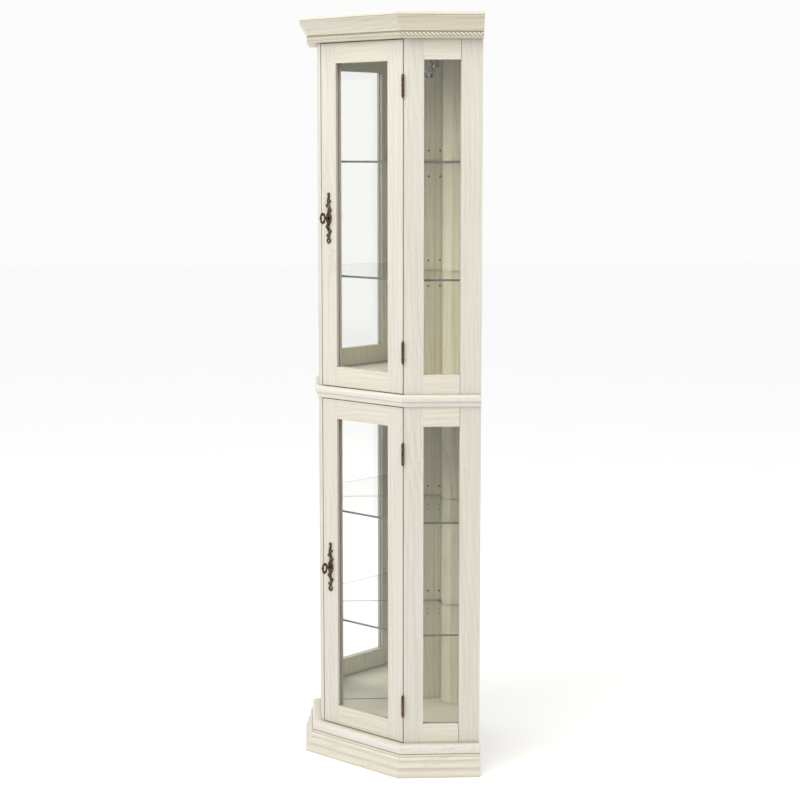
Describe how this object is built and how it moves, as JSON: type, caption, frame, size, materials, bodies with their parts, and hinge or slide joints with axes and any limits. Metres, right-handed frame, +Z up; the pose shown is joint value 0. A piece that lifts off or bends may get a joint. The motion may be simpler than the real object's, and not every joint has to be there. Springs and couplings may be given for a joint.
{
  "type": "corner curio cabinet",
  "caption": "Tall corner display cabinet in whitewashed wood: stacked glazed cases with hinged glass doors, glass shelves and mirrored backs.",
  "frame": {"origin": "middle of the footprint, on the floor", "axes": "+Z up; the +X and +Y faces stand against the two walls of a room's corner, and the doors face -X -Y"},
  "size_m": [0.42, 0.42, 1.8],
  "materials": {
    "wood": "whitewashed ash grain, satin lacquer",
    "glass": "clear float glass, polished edges",
    "mirror": "silvered mirror",
    "antique_brass": "dark antique brass, worn on the high spots",
    "zinc_steel": "zinc plated",
    "chrome": "polished chrome",
    "bulb_glass": "faceted reflector lamp with clear front"
  },
  "bodies": {
    "cabinet": {"back_rails": "wood", "base_board": "wood", "base_skirt_front": "wood", "base_skirt_left": "wood", "base_skirt_right": "wood", "case_hinge_leaves": "antique_brass", "ceiling_board": "wood", "crown_front": "wood", "crown_left": "wood", "crown_right": "wood", "door_catches": "zinc_steel", "hinge_pins": "antique_brass", "lamp_yoke": "chrome", "lower_back_board_left": "wood", "lower_back_board_right": "wood", "lower_corner_post": "wood", "lower_left_frame": "wood", "lower_left_glass": "glass", "lower_mirrors": "mirror", "lower_right_frame": "wood", "lower_right_glass": "glass", "lower_shelf_high": "glass", "lower_shelf_low": "glass", "lower_top_board": "wood", "rope_bead": "wood", "shelf_pins": "zinc_steel", "top_board": "wood", "upper_back_board_left": "wood", "upper_back_board_right": "wood", "upper_corner_post": "wood", "upper_left_frame": "wood", "upper_left_glass": "glass", "upper_mirrors": "mirror", "upper_right_frame": "wood", "upper_right_glass": "glass", "upper_shelf_high": "glass", "upper_shelf_low": "glass", "waist_board": "wood"},
    "upper_door": {"upper_door_bottom_rail": "wood", "upper_door_glass": "glass", "upper_door_hinge_leaves": "antique_brass", "upper_door_hinge_stile": "wood", "upper_door_lock_stile": "wood", "upper_door_strike": "zinc_steel", "upper_door_top_rail": "wood", "upper_lock_barrel": "zinc_steel", "upper_lock_plate": "antique_brass"},
    "lower_door": {"lower_door_bottom_rail": "wood", "lower_door_glass": "glass", "lower_door_hinge_leaves": "antique_brass", "lower_door_hinge_stile": "wood", "lower_door_lock_stile": "wood", "lower_door_strike": "zinc_steel", "lower_door_top_rail": "wood", "lower_lock_barrel": "zinc_steel", "lower_lock_plate": "antique_brass"},
    "upper_key": {"upper_key": "antique_brass"},
    "lower_key": {"lower_key": "antique_brass"},
    "lamp_head": {"lamp_bulb": "bulb_glass", "lamp_head": "chrome"}
  },
  "joints": [
    {"name": "upper_door_swing", "type": "hinge", "parent": "cabinet", "child": "upper_door", "pos_m": [0.02578, -0.17096, 0], "axis": [0, 0, 1], "range_deg": [0, 110]},
    {"name": "upper_key_turn", "type": "hinge", "parent": "upper_door", "child": "upper_key", "pos_m": [-0.14254, 0.00154, 1.324], "axis": [0.7071, 0.7071, 0], "range_deg": [0, 90]},
    {"name": "lower_door_swing", "type": "hinge", "parent": "cabinet", "child": "lower_door", "pos_m": [0.02578, -0.17096, 0], "axis": [0, 0, 1], "range_deg": [0, 110]},
    {"name": "lower_key_turn", "type": "hinge", "parent": "lower_door", "child": "lower_key", "pos_m": [-0.14254, 0.00154, 0.47], "axis": [0.7071, 0.7071, 0], "range_deg": [0, 90]},
    {"name": "lamp_tilt", "type": "hinge", "parent": "cabinet", "child": "lamp_head", "pos_m": [0.1, 0.096, 1.69], "axis": [0.7071, -0.7071, 0], "range_deg": [-20, 50]}
  ]
}
